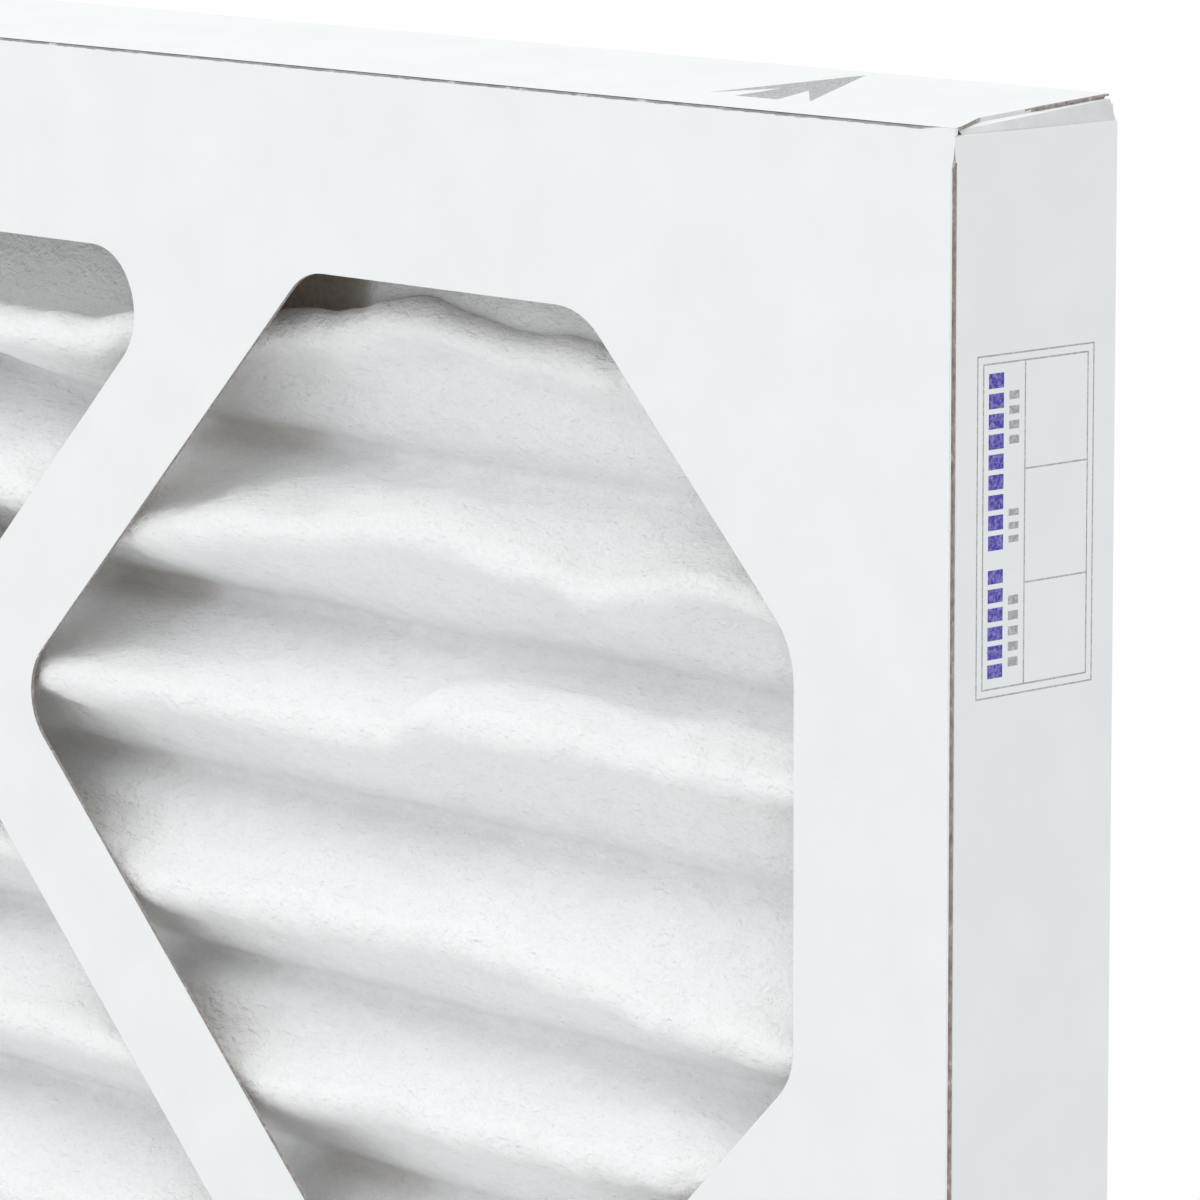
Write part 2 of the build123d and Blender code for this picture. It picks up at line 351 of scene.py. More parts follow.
def side_of_board(centre, normal, face_y, inward, half, low, high_at):
    """Which side of the board a face of a tray shows, as a material slot."""
    side = 1 if centre.x > 0 else -1
    from_side = half - abs(centre.x)
    # Outward direction and depth below each outer plane of the tray
    walls = (
        (-inward * normal.y, abs(centre.y - face_y)),
        (side * normal.x, from_side),
        (-normal.z, centre.z - low),
        (normal.z, high_at(centre.y) - centre.z),
    )
    for outward, depth in walls:
        if outward > 0.9 and depth < PLANE_REACH:
            return COATED_SIDE
        if outward < -0.9 and abs(depth - BOARD) < PLANE_REACH:
            return LINER_SIDE
    # The corner tabs lie one board below the top and bottom flanges.
    if from_side < TAB_ZONE:
        for outward, depth in walls[2:]:
            if outward > 0.9 and abs(depth - BOARD) < PLANE_REACH:
                return COATED_SIDE
            if outward < -0.9 and abs(depth - 2 * BOARD) < PLANE_REACH:
                return LINER_SIDE
    # A strip leans from the side flange over to each tab.
    leans = abs(normal.x) > 0.3 and abs(normal.z) > 0.1 and abs(normal.y) < 0.5
    # The strip's outer face is painted grey as shade
    if leans and from_side < TAB_LEAN + BOARD + 0.2:
        return PAINTED_SHADE_SIDE if side * normal.x > 0 else LINER_SIDE
    return CUT_SIDE


def on_cut_edge(face, half):
    """Whether a face is part of the tapered cut edge of a top or bottom flange."""
    from_side = half - abs(face.calc_center_median().x) / MM
    return abs(face.normal.x) > 0.8 and CUT_AT_RIM - 0.1 < from_side < CUT_AT_FOLD + 0.1


def cut_faces(shape, faces, place, normal):
    """Cuts faces along a plane, and gives back the faces that are there afterwards."""
    around = {part for face in faces for part in (face, *face.edges, *face.verts)}
    cut = bmesh.ops.bisect_plane(shape, geom=list(around), plane_co=place, plane_no=normal)
    return [part for part in cut["geom"] if isinstance(part, bmesh.types.BMFace)]


def round_free_corners(shape, face_y, rim_y, half):
    """Divides the flanges' cut edges where their crushed part ends, and rounds their free corners."""
    inward = 1 if rim_y > face_y else -1
    for y in (face_y + inward * CRUSHED, rim_y - inward * ROUND_START, rim_y - inward * ROUND_MIDDLE):
        ends = [face for face in shape.faces if on_cut_edge(face, half)]
        cut_faces(shape, ends, (0, y * MM, 0), (0, 1, 0))
    for vert in shape.verts:
        from_side = half - abs(vert.co.x) / MM
        from_rim = abs(vert.co.y / MM - rim_y)
        if CUT_AT_RIM - 0.1 < from_side < CUT_AT_RIM + 0.2 and from_rim < ROUND_MIDDLE + 0.1:
            back = RIM_BACK if from_rim < 0.1 else MIDDLE_BACK
            vert.co.x *= (half - from_side - back) / (half - from_side)


def press_crease(shape, half, level):
    """Presses the crease of the corner tabs, at the given height, a little into the board."""
    side_faces = [
        face for face in shape.faces
        if abs(face.normal.x) > 0.9 and abs(face.calc_center_median().x) > (half - 0.05) * MM
    ]
    for offset in (-CREASE_HALF_WIDTH, CREASE_HALF_WIDTH):
        side_faces = cut_faces(shape, side_faces, (0, 0, (level + offset) * MM), (0, 0, 1))
    for vert in shape.verts:
        if abs(abs(vert.co.x) - half * MM) < 1e-6 and abs(vert.co.z - level * MM) < 1e-6:
            vert.co.x *= (half - CREASE_DEPTH) / half


def round_tab_ends(shape, half, rim_y, levels):
    """Carries each corner tab's strip on to the rim, where its end is rounded over."""
    towards_face = -1 if rim_y > 0 else 1
    end = rim_y + towards_face * STRIP_STOP
    for vert in shape.verts:
        x, y, z = vert.co / MM
        if half - abs(x) > TAB_LEAN + BOARD + 0.01 or abs(y - end) > 0.01:
            continue
        from_crease = min(abs(z - level) for level in levels)
        if from_crease < 8:
            vert.co.y = (rim_y + towards_face * (0.15 if from_crease < 0.5 else 0.9)) * MM


def tray_piece(node, name, face_y, rim_y, half, low, high_at):
    """A board tray with its coated side, kraft inside and cut edges told apart."""
    inward = 1 if rim_y > face_y else -1
    creases = (low + CREASE_DROP, min(high_at(face_y), high_at(rim_y)) - CREASE_DROP)
    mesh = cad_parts[node].data.copy()
    mesh.name = name
    mesh.materials.clear()
    for material in (COATED, CORE, LINER, PAINTED_SHADE_COATING):
        mesh.materials.append(material)
    shape = bmesh.new()
    shape.from_mesh(mesh)
    bmesh.ops.remove_doubles(shape, verts=shape.verts, dist=1e-6)
    round_free_corners(shape, face_y, rim_y, half)
    for face in shape.faces:
        centre = face.calc_center_median() / MM
        face.smooth = False
        face.material_index = side_of_board(centre, face.normal, face_y, inward, half, low, high_at)
        # The crushed part of a cut edge is painted grey as shade too
        if on_cut_edge(face, half) and inward * (centre.y - face_y) < CRUSHED:
            face.material_index = PAINTED_SHADE_SIDE
    for level in creases:
        press_crease(shape, half, level)
    round_tab_ends(shape, half, rim_y, creases)
    shape.to_mesh(mesh)
    shape.free()
    new_piece(name, mesh, [node])


def ribbon(name, sections, coated=(), torn=None):
    """A closed ribbon of board through sections of equal point count.

    Its sides show torn fibres, or the material given in torn, such as the painted crease shade of the
    closed scores, apart from those numbered in coated.
    """
    shape = bmesh.new()
    rings = [[shape.verts.new(point * MM) for point in section] for section in sections]
    count = len(rings[0])
    for ring, after in zip(rings, rings[1:]):
        for i in range(count):
            j = (i + 1) % count
            side = shape.faces.new((ring[i], ring[j], after[j], after[i]))
            side.material_index = 1 if i in coated else 0
    shape.faces.new(rings[0])
    shape.faces.new(rings[-1][::-1])
    new_piece(name, closed_mesh(shape, name, torn or CORE, COATED))


def chips(place, seed):
    """Raggedness of a torn edge at a place along it, in millimetres."""
    fine = noise.noise(Vector((place / 0.9, seed, 0.0)))
    coarse = noise.noise(Vector((place / 4.0, seed, 5.0)))
    return max(0.0, 0.06 + 0.2 * fine + 0.16 * coarse) + 0.3 * max(0.0, fine - 0.35)


SCORE_REACH = 3.0  # how far the torn fibres run on past each end of a cut score
SCORE_SPACING = 1.1  # of the sections along it
PROUD = 0.03  # how far the fibres stand off the board
SIDE_GAPE, SIDE_DEPTH = 0.86, 0.55  # the side scores have torn open
END_GAPE, END_DEPTH = 0.55, 0.16  # the top and base scores have closed


def torn_score(name, start, end, into_face, into_flange, gape, depth, seed, torn=None):
    """Torn fibres in one cut score, a little wider than the cut and pointed at both ends.

    start and end lie on the fold's corner line; into_face and into_flange point from it into the
    two faces; gape is how far the score has opened along the face, and depth how deep it is.
    """
    line = end - start
    length = line.length
    direction = line / length
    whole = length + 2 * SCORE_REACH
    stations = int(whole / SCORE_SPACING)
    sections = []
    for i in range(stations + 1):
        place = -SCORE_REACH + whole * i / stations
        at_end = smooth_step(min(place + SCORE_REACH, length + SCORE_REACH - place) / (2 * SCORE_REACH))
        open_width = max(at_end, 0.02)
        corner = start + direction * place
        face_lip = (gape + chips(place, seed)) * open_width
        flange_lip = (SCORE_CUT + chips(place, seed + 9)) * open_width
        inside = smooth_step(min(place, length - place) / 1.5) * (depth + PROUD) - PROUD
        covered = face_lip + 0.02
        if 0 < place < length:
            covered = max(SCORE_CUT + 0.06, covered)
        sections.append([
            corner + into_face * covered - into_flange * PROUD / 2,
            corner + into_face * face_lip - into_flange * PROUD,
            corner + (into_face + into_flange) * inside,
            corner + into_flange * flange_lip - into_face * PROUD,
            corner + (into_face + into_flange) * (SCORE_CUT + 0.12),
        ])
    ribbon(name, sections, coated=(0,), torn=torn)


def torn_scores(tray, face_y, inward, half, low, high):
    """The four scores round one tray's face: torn open at the sides, crushed at top and base."""
    into_flange = Vector((0, inward, 0))
    left, right = Vector((-half, face_y, 0)), Vector((half, face_y, 0))
    foot, head = Vector((0, 0, low + SCORE_STOP)), Vector((0, 0, high - SCORE_STOP))
    for side, corner, into_face, seed in (
        ("right", right, Vector((-1, 0, 0)), 1.0),
        ("left", left, Vector((1, 0, 0)), 2.0),
    ):
        torn_score(
            f"{tray}_score_{side}", corner + foot, corner + head, into_face, into_flange,
            SIDE_GAPE, SIDE_DEPTH, seed,
        )
    inset = Vector((SCORE_STOP, 0, 0))
    # The top and base scores are closed: their grey is painted shade in the crease over crushed board
    for end, level, into_face, seed in (
        ("top", Vector((0, 0, high)), Vector((0, 0, -1)), 3.0),
        ("base", Vector((0, 0, low)), Vector((0, 0, 1)), 4.0),
    ):
        torn_score(
            f"{tray}_score_{end}", left + level + inset, right + level - inset, into_face, into_flange,
            END_GAPE, END_DEPTH, seed, CRUSHED_GROOVE_SHADE,
        )


# The corner web's cut edge, as (how far inside the side, depth behind the front face) points
WEB_EDGE = [(0.15, 0.12), (0.3, 1.2), (1.1, 3.2), (2.5, 6.0), (4.0, 9.2), (4.9, 11.8)]
WEB_STEPS = 24
WEB_OVERLAP = 0.3  # how far the web runs on over the flange
FRAY_START, FRAY_STEPS = 23.0, 40


def corner_web(name, side, head):
    """The unscored corner of the front tray: the flange's board runs on to the very corner.

    head is 1 at the top and -1 at the bottom.  The web's cut edge curls down from the corner to
    meet the flange's own.
    """
    web_depth = WEB_EDGE[-1][1]
    sections = []
    for i in range(WEB_STEPS + 1):
        t = i / WEB_STEPS * (len(WEB_EDGE) - 1)
        k = min(int(t), len(WEB_EDGE) - 2)
        inset, depth = (a + (b - a) * (t - k) for a, b in zip(WEB_EDGE[k], WEB_EDGE[k + 1]))
        inset += 0.1 * noise.noise(Vector((depth / 0.8, 3.0, 1.0)))
        y = FRONT + depth
        level = top_height(y) if head > 0 else 0.0
        curl = 0.25 * math.sin(math.pi * min(depth / web_depth, 1)) * (0.4 + 0.6 * smooth_step(depth / 5))
        over, under = level + head * 0.03, level - head * (BOARD - 0.1)
        inner = CUT_AT_FOLD + WEB_OVERLAP - 0.09 * depth
        sections.append([
            Vector((side * (HALF_WIDTH - inset), y, over - head * curl * 0.4)),
            Vector((side * (HALF_WIDTH - inner), y, over)),
            Vector((side * (HALF_WIDTH - inner), y, under)),
            Vector((side * (HALF_WIDTH - inset - 0.05), y, under - head * curl * 0.2)),
        ])
    ribbon(name, sections, coated=(0, 1, 2))


def frayed_edge(name, side, head):
    """Frayed kraft along the free half of a front-tray flange's cut edge."""
    rim_depth = REAR - FRONT
    sections = []
    for i in range(FRAY_STEPS + 1):
        depth = FRAY_START + (rim_depth - FRAY_START - 0.3) * i / FRAY_STEPS
        y = FRONT + depth
        inset = CUT_AT_FOLD - (CUT_AT_FOLD - CUT_AT_RIM) * depth / rim_depth
        level = top_height(y) if head > 0 else 0.0
        grown = smooth_step((depth - FRAY_START) / 4) * smooth_step((REAR - y) / 1.0)
        proud = (0.06 + 2.0 * chips(depth, 21.0 + head)) * grown
        over = level + head * 0.05 * grown
        under = level - head * (BOARD * (0.45 + 0.35 * noise.noise(Vector((depth / 1.7, 8.0, head)))))
        sections.append([
            Vector((side * (HALF_WIDTH - inset - 0.25 * grown), y, over)),
            Vector((side * (HALF_WIDTH - inset + proud), y, over - head * 0.12)),
            Vector((side * (HALF_WIDTH - inset + 0.5 * proud + 0.02), y, under)),
            Vector((side * (HALF_WIDTH - inset - 0.3), y, under)),
        ])
    ribbon(name, sections)


rear_half = Vector(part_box("rear_frame")[1]).x / MM
rear_rim = Vector(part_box("rear_frame")[0]).y / MM
tray_piece("front_frame", "front_tray", FRONT, REAR, HALF_WIDTH, 0.0, top_height)
tray_piece(
    "rear_frame", "rear_tray", REAR, rear_rim, rear_half, REAR_STEP,
    lambda y: top_height(y) - REAR_STEP,
)
torn_scores("front", FRONT, 1, HALF_WIDTH, 0.0, HEIGHT)
torn_scores("rear", REAR, -1, rear_half, REAR_STEP, top_height(REAR) - REAR_STEP)
for side, side_name in ((-1, "left"), (1, "right")):
    for head, end_name in ((-1, "base"), (1, "top")):
        corner_web(f"corner_web_{end_name}_{side_name}", side, head)
        frayed_edge(f"frayed_edge_{end_name}_{side_name}", side, head)


# ---- Pleated sheet -------------------------------------------------------------------------------
SHEET_FRONT = media_low.y + MEDIA_THICKNESS / 2
SHEET_REAR = media_high.y - MEDIA_THICKNESS / 2
SHEET_HALF = media_high.x
PITCH = (top_height(SHEET_REAR - END_PANEL) - 2 * SHEET_STEP - TOP_FOLD_DROP) / (PLEATS - 0.5)

# Tips and folds are counted from the top: fold n lies under tip n, and fold -1 stands for the
# sheet's upper end, which keeps its place.  Each table gives places (x from the panel's middle,
# value) along one tip or fold of the upper right corner.
STRAY = {  # how far a tip strays upwards
    1: [(-120, 0.0), (-60, -6.0), (0, -8.5), (35, -9.0), (70, -5.0), (113, -1.5), (143, 4.0),
        (172, 0.0), (208, -1.5), (290, -1.0)],
    2: [(-40, 0.0), (60, -6.5), (105, -2.5), (150, 1.8), (180, -1.0), (205, -4.5), (237, 0.5),
        (262, -2.0)],
    3: [(-40, 0.0), (23, -2.3), (121, -1.2), (141, -0.8), (156, 5.0), (210, 5.6), (263, 5.6)],
    4: [(-40, 0.0), (55, -3.9), (111, -1.7), (160, 0.0), (207, -2.8), (237, -6.0), (263, -7.5)],
    5: [(20, 0.0), (86, -2.2), (143, 1.7), (191, 2.1), (237, 4.5)],
}
SUNK = {  # how far a tip lies back from the front board
    1: [(-20, 0.0), (40, 1.0), (95, 8.5), (300, 11.0)],
    2: [(100, 0.0), (160, 1.5), (205, 2.0), (235, 5.5), (300, 6.5)],
}
SAG = {  # how far a fold hangs down
    0: [(-300, 0.0), (300, 0.0)],
    1: [(-40, 0.0), (40, 8.0), (300, 7.0)],
    2: [(-40, 0.0), (20, 4.0), (300, 3.0)],
    3: [(-40, 0.0), (20, 1.5), (300, 1.0)],
    4: [(-40, 0.0), (20, 0.0), (300, 1.0)],
    5: [(-300, 0.0), (300, 0.0)],
    6: [(-300, 0.0), (300, 0.0)],
}
FILL = {  # how far the loft fills a fold from behind
    0: [(-300, 9.0), (50, 9.0), (82, 6.5), (106, 8.5), (130, 17.0), (300, 18.0)],
    1: [(-40, 5.0), (40, 8.0), (90, 9.0), (125, 10.0), (200, 12.0), (300, 12.0)],
    2: [(-20, 6.0), (40, 7.0), (90, 8.0), (150, 11.0), (300, 13.0)],
    3: [(-20, 13.0), (40, 14.0), (90, 12.0), (145, 12.0), (300, 14.0)],
    4: [(-20, 15.0), (60, 17.0), (120, 15.0), (300, 14.0)],
    5: [(-300, 9.0), (300, 12.0)],
    6: [(-300, 9.0), (300, 9.0)],
}

FINE_TIPS = 6  # so many tips from the top have more rows than the others
LOWER_PANEL_ROWS = 4
END_WALL_ROWS, UPPER_PANEL_ROWS = 4, 3
WANDER = 2.0  # how far the other tips stray, up or down
BOW = 1.6  # how far a wall bows forward
ROLL = 14.0  # how far the topmost lobe hangs over
LOFT = (  # size of a feature along x, y and z, its height on the walls, and what a tip adds to that
    ((20, 12, 12), 0.6, 0.7),
    ((8, 5, 5), 0.2, 0.6),
    ((3.2, 2.6, 2.4), 0.08, 0.3),
)
LEAST_STAND = 0.5  # the sheet's front stands at least this far off its middle line
SHADE_EDGE = 9.0  # width of the soft edge of the rear board's shade
SHADE_SHIFT = 12.0  # how far to the board's right the shade falls
SHADE_STRENGTH = 0.42  # below the topmost fold
COARSE_COLUMNS, FINE_COLUMNS, FINE_FROM = 60, 140, 20  # the sheet is finer from this x on

# A row of the sheet: its place, its front normal, the tip and the fold that it lies between, and
# how far it is from the tip (0) towards the fold (1)
Row = namedtuple("Row", "y z normal_y normal_z tip fold reach")


def fold_arc(centre_y, centre_z, start, end, steps):
    """Points round one fold, with the sheet's normal at each: (y, z, normal y, normal z)."""
    points = []
    for i in range(steps + 1):
        angle = start + (end - start) * i / steps
        normal = (math.cos(angle), math.sin(angle))
        points.append((centre_y + FOLD_RADIUS * normal[0], centre_z + FOLD_RADIUS * normal[1], *normal))
    return points


def sheet_profile():
    """Rows of the sheet's middle line from the lower end to the upper one."""
    # The walls' slope, found in rounds, as it sets how far the corners reach past the rounded folds
    run = SHEET_REAR - SHEET_FRONT
    slope = math.atan2(PITCH / 2, run)
    for _ in range(6):
        reach = FOLD_RADIUS * (1 / math.sin(slope) - 1)
        slope = math.atan2(PITCH / 2, run + 2 * reach)
    quarter = math.pi / 2 - slope
    tip_centre = SHEET_FRONT + FOLD_RADIUS
    deep_centre = SHEET_REAR - FOLD_RADIUS
    rows = []
    # Lower end panel, lying on the flange and lifting a little towards the first fold
    for i in range(LOWER_PANEL_ROWS):
        y = SHEET_REAR - END_PANEL + (END_PANEL - FOLD_RADIUS - 6) * i / (LOWER_PANEL_ROWS - 1)
        rows.append(Row(y, SHEET_STEP + 0.35 * i, 0.0, 1.0, PLEATS - 1, PLEATS - 1, 1.0))
    for pleat in range(PLEATS):
        tip_number = PLEATS - 1 - pleat
        # Steps round the fold and the tip, and along the wall before the tip and the one after it
        turns, tip_turns, rise, fall = (4, 8, 5, 9) if tip_number < FINE_TIPS else (3, 4, 3, 4)
        base = SHEET_STEP + pleat * PITCH
        # Fold at the rear, turning from the floor of one pleat to the roof of the next
        start = -quarter if pleat else -math.pi / 4
        for y, z, normal_y, normal_z in fold_arc(deep_centre, base, start, quarter, turns):
            rows.append(Row(y, z, -normal_y, -normal_z, tip_number, tip_number, 1.0))
        deep = rows[-1]
        tip = fold_arc(
            tip_centre, base + PITCH / 2, math.pi + quarter, math.pi - quarter, tip_turns
        )
        # Wall up to the tip
        tip_y, tip_z, *tip_normal = tip[0]
        for i in range(1, rise):
            t = i / rise
            y, z = deep.y + (tip_y - deep.y) * t, deep.z + (tip_z - deep.z) * t
            rows.append(Row(y, z, *tip_normal, tip_number, tip_number, 1 - t))
        for y, z, normal_y, normal_z in tip:
            rows.append(Row(y, z, normal_y, normal_z, tip_number, tip_number, 0.0))
        if pleat == PLEATS - 1:
            break
        # Wall on to the next fold
        last = rows[-1]
        next_y = deep_centre + FOLD_RADIUS * math.cos(-quarter)
        next_z = base + PITCH + FOLD_RADIUS * math.sin(-quarter)
        for i in range(1, fall):
            t = i / fall
            y, z = last.y + (next_y - last.y) * t, last.z + (next_z - last.z) * t
            rows.append(Row(y, z, last.normal_y, last.normal_z, tip_number, tip_number - 1, t))
    # Wall up to the upper end panel, and the panel against the flange
    last = rows[-1]
    bend_y = SHEET_REAR - END_PANEL
    bend_z = top_height(bend_y) - SHEET_STEP
    for i in range(1, END_WALL_ROWS + 1):
        t = i / END_WALL_ROWS
        y, z = last.y + (bend_y - last.y) * t, last.z + (bend_z - last.z) * t
        rows.append(Row(y, z, last.normal_y, last.normal_z, 0, -1, t))
    for i in range(1, UPPER_PANEL_ROWS + 1):
        y = bend_y + END_PANEL * i / UPPER_PANEL_ROWS
        rows.append(Row(y, top_height(y) - SHEET_STEP, 0.0, -1.0, 0, -1, 1.0))
    return rows


def moved_row(row, x):
    """A row's place (y, z) at x, once its tip has strayed and its fold has sagged and filled."""
    y, z, _, _, tip, fold, reach = row
    share = 1 - smooth_step(reach)
    wander = WANDER * noise.noise(Vector((x / 95, tip * 7.3, 1.7)))
    if tip in STRAY:
        # Where the table says how far a tip strays, little is left to its own wander.
        wander *= 1 - 0.8 * smooth_step((x + 20) / 60)
        wander += along(STRAY[tip], x)
    z += wander * share
    if tip in SUNK:
        y += along(SUNK[tip], x) * share
    if fold in SAG:
        z -= along(SAG[fold], x) * (1 - share)
        y -= along(FILL[fold], x) * (1 - share)
    if tip == 1 and fold == 0:
        # The topmost lobe is full: it rolls over before its wall climbs to the end of the sheet.
        roll = ROLL + 1.5 * noise.noise(Vector((x / 40, 2.0, 2.0)))
        z -= roll * math.sin(math.pi * min(reach, 1.0)) ** 2
    return y, z


def bow_at(x, z, share):
    """How far a wall bows forward at a place, more in some places than in others."""
    return BOW * math.sin(math.pi * share) * noise.noise(Vector((x / 45, z / 30, 5.0)))


# The mask of the painted board shade on the sheet
def over_board(x, z):
    """1 where the lattice's board lies at (x, z), 0 over a window, with a soft edge between."""
    across = abs(x)
    up = z - HEIGHT / 2
    depths = [
        max(across - (HALF_WIDTH - BORDER), abs(up) - (HEIGHT / 2 - BORDER)),
        (across + abs(up) - (HALF_WIDTH + HEIGHT / 2 - 2 * BORDER - GUSSET_LEG)) / math.sqrt(2),
    ]
    for diagonal in (x + up, x - up):
        depths.append(STRAP_WIDTH / 2 - abs(abs(diagonal) - STRAP_CROSSING) / math.sqrt(2))
    return smooth_step(0.5 + max(depths) / SHADE_EDGE)


def painted_shade_at(x, y, z, fold):
    """How much painted shade, tinted the brown of the rear board's kraft, a place on the sheet takes on,
    from 0 to 1.

    The board's shade falls a little to its right, and in the topmost fold straight before it too.
    """
    if fold == 0:
        # That fold lies behind the border, which would paint shade over all of it, so it is read lower
        # down.
        level = min(z, HEIGHT - BORDER - 13)
        shade = max(over_board(x, level), over_board(x - SHADE_SHIFT, level))
        return shade * smooth_step((y + 10) / 16)
    return SHADE_STRENGTH * over_board(x - SHADE_SHIFT, z) * smooth_step((y + 2) / 12)


def loft_at(x, y, z, share):
    """How far the nap stands up on the front surface at a place, in millimetres."""
    return sum(
        (on_wall + on_tip * share) * noise.noise(Vector((x / wide, y / deep, z / high)))
        for (wide, deep, high), on_wall, on_tip in LOFT
    )


def column_places():
    """Places across the sheet, closer together on the right half."""
    coarse = [-SHEET_HALF + i * (SHEET_HALF + FINE_FROM) / COARSE_COLUMNS for i in range(COARSE_COLUMNS)]
    fine = [FINE_FROM + i * (SHEET_HALF - FINE_FROM) / FINE_COLUMNS for i in range(FINE_COLUMNS + 1)]
    return coarse + fine


def pleated_sheet():
    """The sheet as a closed mesh: a napped front surface and a smoother, coarser rear one."""
    rows = sheet_profile()
    columns = column_places()
    last_column = len(columns) - 1
    last_row = len(rows) - 1
    shape = bmesh.new()
    painted_board_shade = []
    painted_tip_highlight = []
    front_points = []
    rear_points = []
    half = MEDIA_THICKNESS / 2
    for row in rows:
        share = 1 - smooth_step(row.reach)
        front_row = []
        rear_row = []
        for c, x in enumerate(columns):
            y, z = moved_row(row, x)
            bow = bow_at(x, z, share)
            stand = max(half + bow + loft_at(x, y, z, share), LEAST_STAND)
            place = (x, y + row.normal_y * stand, z + row.normal_z * stand)
            front_row.append(shape.verts.new([value * MM for value in place]))
            # Painted shade where the rear board lies behind the sheet
            painted_board_shade.append(painted_shade_at(*place, row.fold))
            # Painted highlight, at its strongest on the pleat tips
            painted_tip_highlight.append(share ** 2)
            if c % 2 == 0:
                back = -half + bow + 0.25 * noise.noise(Vector((x / 15, y / 15, z / 15)))
                place = (x, y + row.normal_y * back, z + row.normal_z * back)
                rear_row.append(shape.verts.new([value * MM for value in place]))
                painted_board_shade.append(0.0)
                painted_tip_highlight.append(0.0)
        front_points.append(front_row)
        rear_points.append(rear_row)
    for r in range(last_row):
        upper_front, upper_rear = front_points[r + 1], rear_points[r + 1]
        lower_front, lower_rear = front_points[r], rear_points[r]
        for c in range(last_column):
            shape.faces.new((lower_front[c], lower_front[c + 1], upper_front[c + 1], upper_front[c]))
        for c in range(last_column // 2):
            shape.faces.new((lower_rear[c], upper_rear[c], upper_rear[c + 1], lower_rear[c + 1]))
        for c in (0, -1):
            shape.faces.new((lower_front[c], upper_front[c], upper_rear[c], lower_rear[c]))
    for r in (0, last_row):
        for c in range(last_column // 2):
            shape.faces.new((
                *front_points[r][2 * c:2 * c + 3], rear_points[r][c + 1], rear_points[r][c]
            ))
    for face in shape.faces:
        face.smooth = True
    mesh = closed_mesh(shape, "pleated_sheet", MEDIA)
    # The painted board shade rides on the sheet as an attribute
    mesh.attributes.new("painted_board_shade", "FLOAT", "POINT").data.foreach_set("value", painted_board_shade)
    # The painted tip highlight rides on the sheet as an attribute
    mesh.attributes.new("painted_tip_highlight", "FLOAT", "POINT").data.foreach_set("value", painted_tip_highlight)
    length = sum(math.dist(a[:2], b[:2]) for a, b in zip(rows, rows[1:]))
    return mesh, length


media_mesh, media_length = pleated_sheet()
media = new_piece("pleated_sheet", media_mesh, ["filter_media"])

# ---- Wire grid -----------------------------------------------------------------------------------
WIRE_SPACING = 26.0  # between the wires that follow the pleats
WIRE_REACH = 286.0  # from the panel's middle to the outermost of them
CROSS_REACH = 298.0  # from the middle to each end of a wire that runs straight across
CROSS_STEPS = 110  # along such a wire
WIRE_OFFSET = MEDIA_THICKNESS / 2 + 0.3 + WIRE / 2  # from the sheet's middle line to a wire's
WIRE_SIDES = 6


def run_wire(shape, centres, across):
    """One round wire through its centres; across gives a unit vector square to it at each."""
    rings = []
    for i, centre in enumerate(centres):
        tangent = (centres[min(i + 1, len(centres) - 1)] - centres[max(i - 1, 0)]).normalized()
        first = across[i] - tangent * across[i].dot(tangent)
        first.normalize()
        second = tangent.cross(first)
        rings.append([
            shape.verts.new((centre + (first * math.cos(a) + second * math.sin(a)) * WIRE / 2) * MM)
            for a in (2 * math.pi * k / WIRE_SIDES for k in range(WIRE_SIDES))
        ])
    for ring, after in zip(rings, rings[1:]):
        for k in range(WIRE_SIDES):
            j = (k + 1) % WIRE_SIDES
            shape.faces.new((ring[k], ring[j], after[j], after[k])).smooth = True
    shape.faces.new(rings[0][::-1])
    shape.faces.new(rings[-1])


def behind(row, x, offset):
    """A place behind the sheet at a row and x."""
    y, z = moved_row(row, x)
    bow = bow_at(x, z, 1 - smooth_step(row.reach))
    return Vector((x, y - row.normal_y * (offset - bow), z - row.normal_z * (offset - bow)))


def wire_backing():
    """Wires that follow the pleats, and others welded straight across each wall."""
    rows = sheet_profile()[LOWER_PANEL_ROWS:-END_WALL_ROWS - UPPER_PANEL_ROWS]
    shape = bmesh.new()
    count = round(2 * WIRE_REACH / WIRE_SPACING)
    for i in range(count + 1):
        x = -WIRE_REACH + 2 * WIRE_REACH * i / count
        run_wire(shape, [behind(row, x, WIRE_OFFSET) for row in rows], [Vector((1, 0, 0))] * len(rows))
    # The row nearest the middle of each wall
    walls = {}
    for row in rows:
        wall = (row.tip, row.fold, row.normal_z > 0)
        from_middle = abs(row.reach - 0.5)
        if 0 < row.reach < 1 and from_middle < abs(walls.get(wall, row).reach - 0.5) + 1e-9:
            walls[wall] = row
    places = [-CROSS_REACH + 2 * CROSS_REACH * i / CROSS_STEPS for i in range(CROSS_STEPS + 1)]
    for row in walls.values():
        centres = [behind(row, x, WIRE_OFFSET + WIRE * 0.9) for x in places]
        run_wire(shape, centres, [Vector((0, row.normal_y, row.normal_z))] * len(places))
    mesh = closed_mesh(shape, "wire_backing", GALVANISED)
    new_piece("wire_backing", mesh, ["wire_grid"])


wire_backing()

# ---- Finish of the adhesive solids, which stay ---------------------------------------------------
for node in ("side_bed_left", "side_bed_right", "end_bead_bottom", "end_bead_top"):
    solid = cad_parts[node]
    solid.data.materials.clear()
    solid.data.materials.append(ADHESIVE)

# ---- Print ---------------------------------------------------------------------------------------
INK_HEIGHT = 0.02  # how far the ink stands off the board


